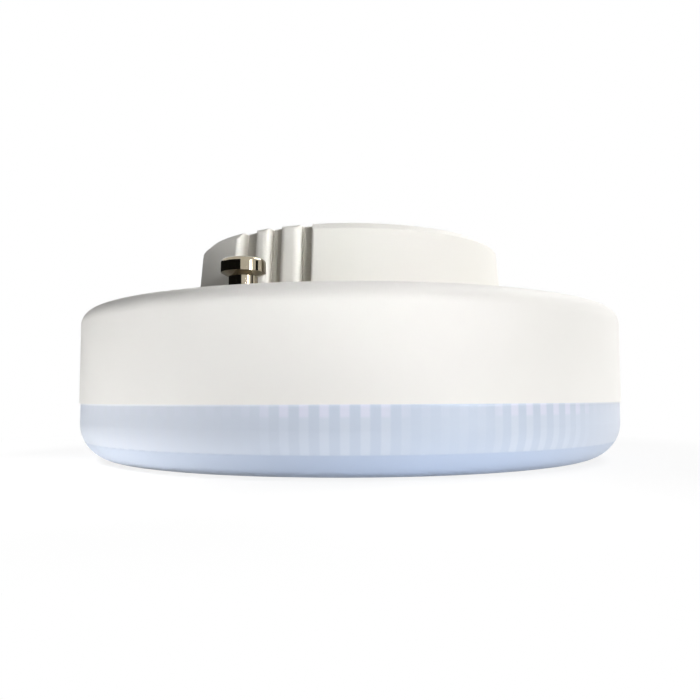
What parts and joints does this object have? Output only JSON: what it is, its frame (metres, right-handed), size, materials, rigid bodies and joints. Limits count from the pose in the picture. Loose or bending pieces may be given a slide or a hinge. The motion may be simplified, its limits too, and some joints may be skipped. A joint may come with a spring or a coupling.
{
  "type": "led disc lamp",
  "caption": "Flat round LED lamp: white drum housing, raised hub with finned windows beside its contact pins for a twist-in holder, and a frosted ribbed light cover.",
  "frame": {"origin": "middle of the flat light face, on the lamp's axis", "axes": "+Z from the light face to the cap's hub; the contact pins lie on the Y axis"},
  "size_m": [0.075, 0.075, 0.0291],
  "materials": {
    "white_plastic": "satin moulded plastic",
    "frosted_plastic": "frosted, slightly blue clear plastic",
    "bright_nickel": "polished nickel plate",
    "aluminium_sheet": "drawn sheet",
    "white_board": "white lacquer on a metal core",
    "led_package": "yellow phosphor in a white package",
    "zinc_steel": "zinc plated",
    "green_board": "green lacquer",
    "capacitor_sleeve": "dark shrink sleeve",
    "ferrite": "matte ferrite",
    "copper_wire": "enamelled copper",
    "film_block": "brown dipped block",
    "resistor_body": "blue-grey lacquer",
    "black_package": "matte moulded package",
    "white_insulation": "soft insulation",
    "black_insulation": "soft insulation",
    "red_insulation": "soft insulation"
  },
  "bodies": {
    "root": {"housing": "white_plastic", "diffuser": "frosted_plastic", "contact_pin_front": "bright_nickel", "contact_pin_rear": "bright_nickel", "heat_spreader": "aluminium_sheet", "led_board": "white_board", "led_01": "led_package", "led_02": "led_package", "led_03": "led_package", "led_04": "led_package", "led_05": "led_package", "led_06": "led_package", "led_07": "led_package", "led_08": "led_package", "led_09": "led_package", "led_10": "led_package", "led_11": "led_package", "led_12": "led_package", "led_13": "led_package", "led_14": "led_package", "led_15": "led_package", "led_16": "led_package", "led_17": "led_package", "led_18": "led_package", "board_screws": "zinc_steel", "driver_board": "green_board", "input_capacitor": "capacitor_sleeve", "output_capacitor": "capacitor_sleeve", "choke_core": "ferrite", "choke_winding": "copper_wire", "film_capacitor": "film_block", "fuse_resistor": "resistor_body", "bridge_rectifier": "black_package", "driver_chip": "black_package", "mains_wire_front": "white_insulation", "mains_wire_rear": "white_insulation", "led_wire_left": "black_insulation", "led_wire_right": "red_insulation"}
  },
  "joints": []
}
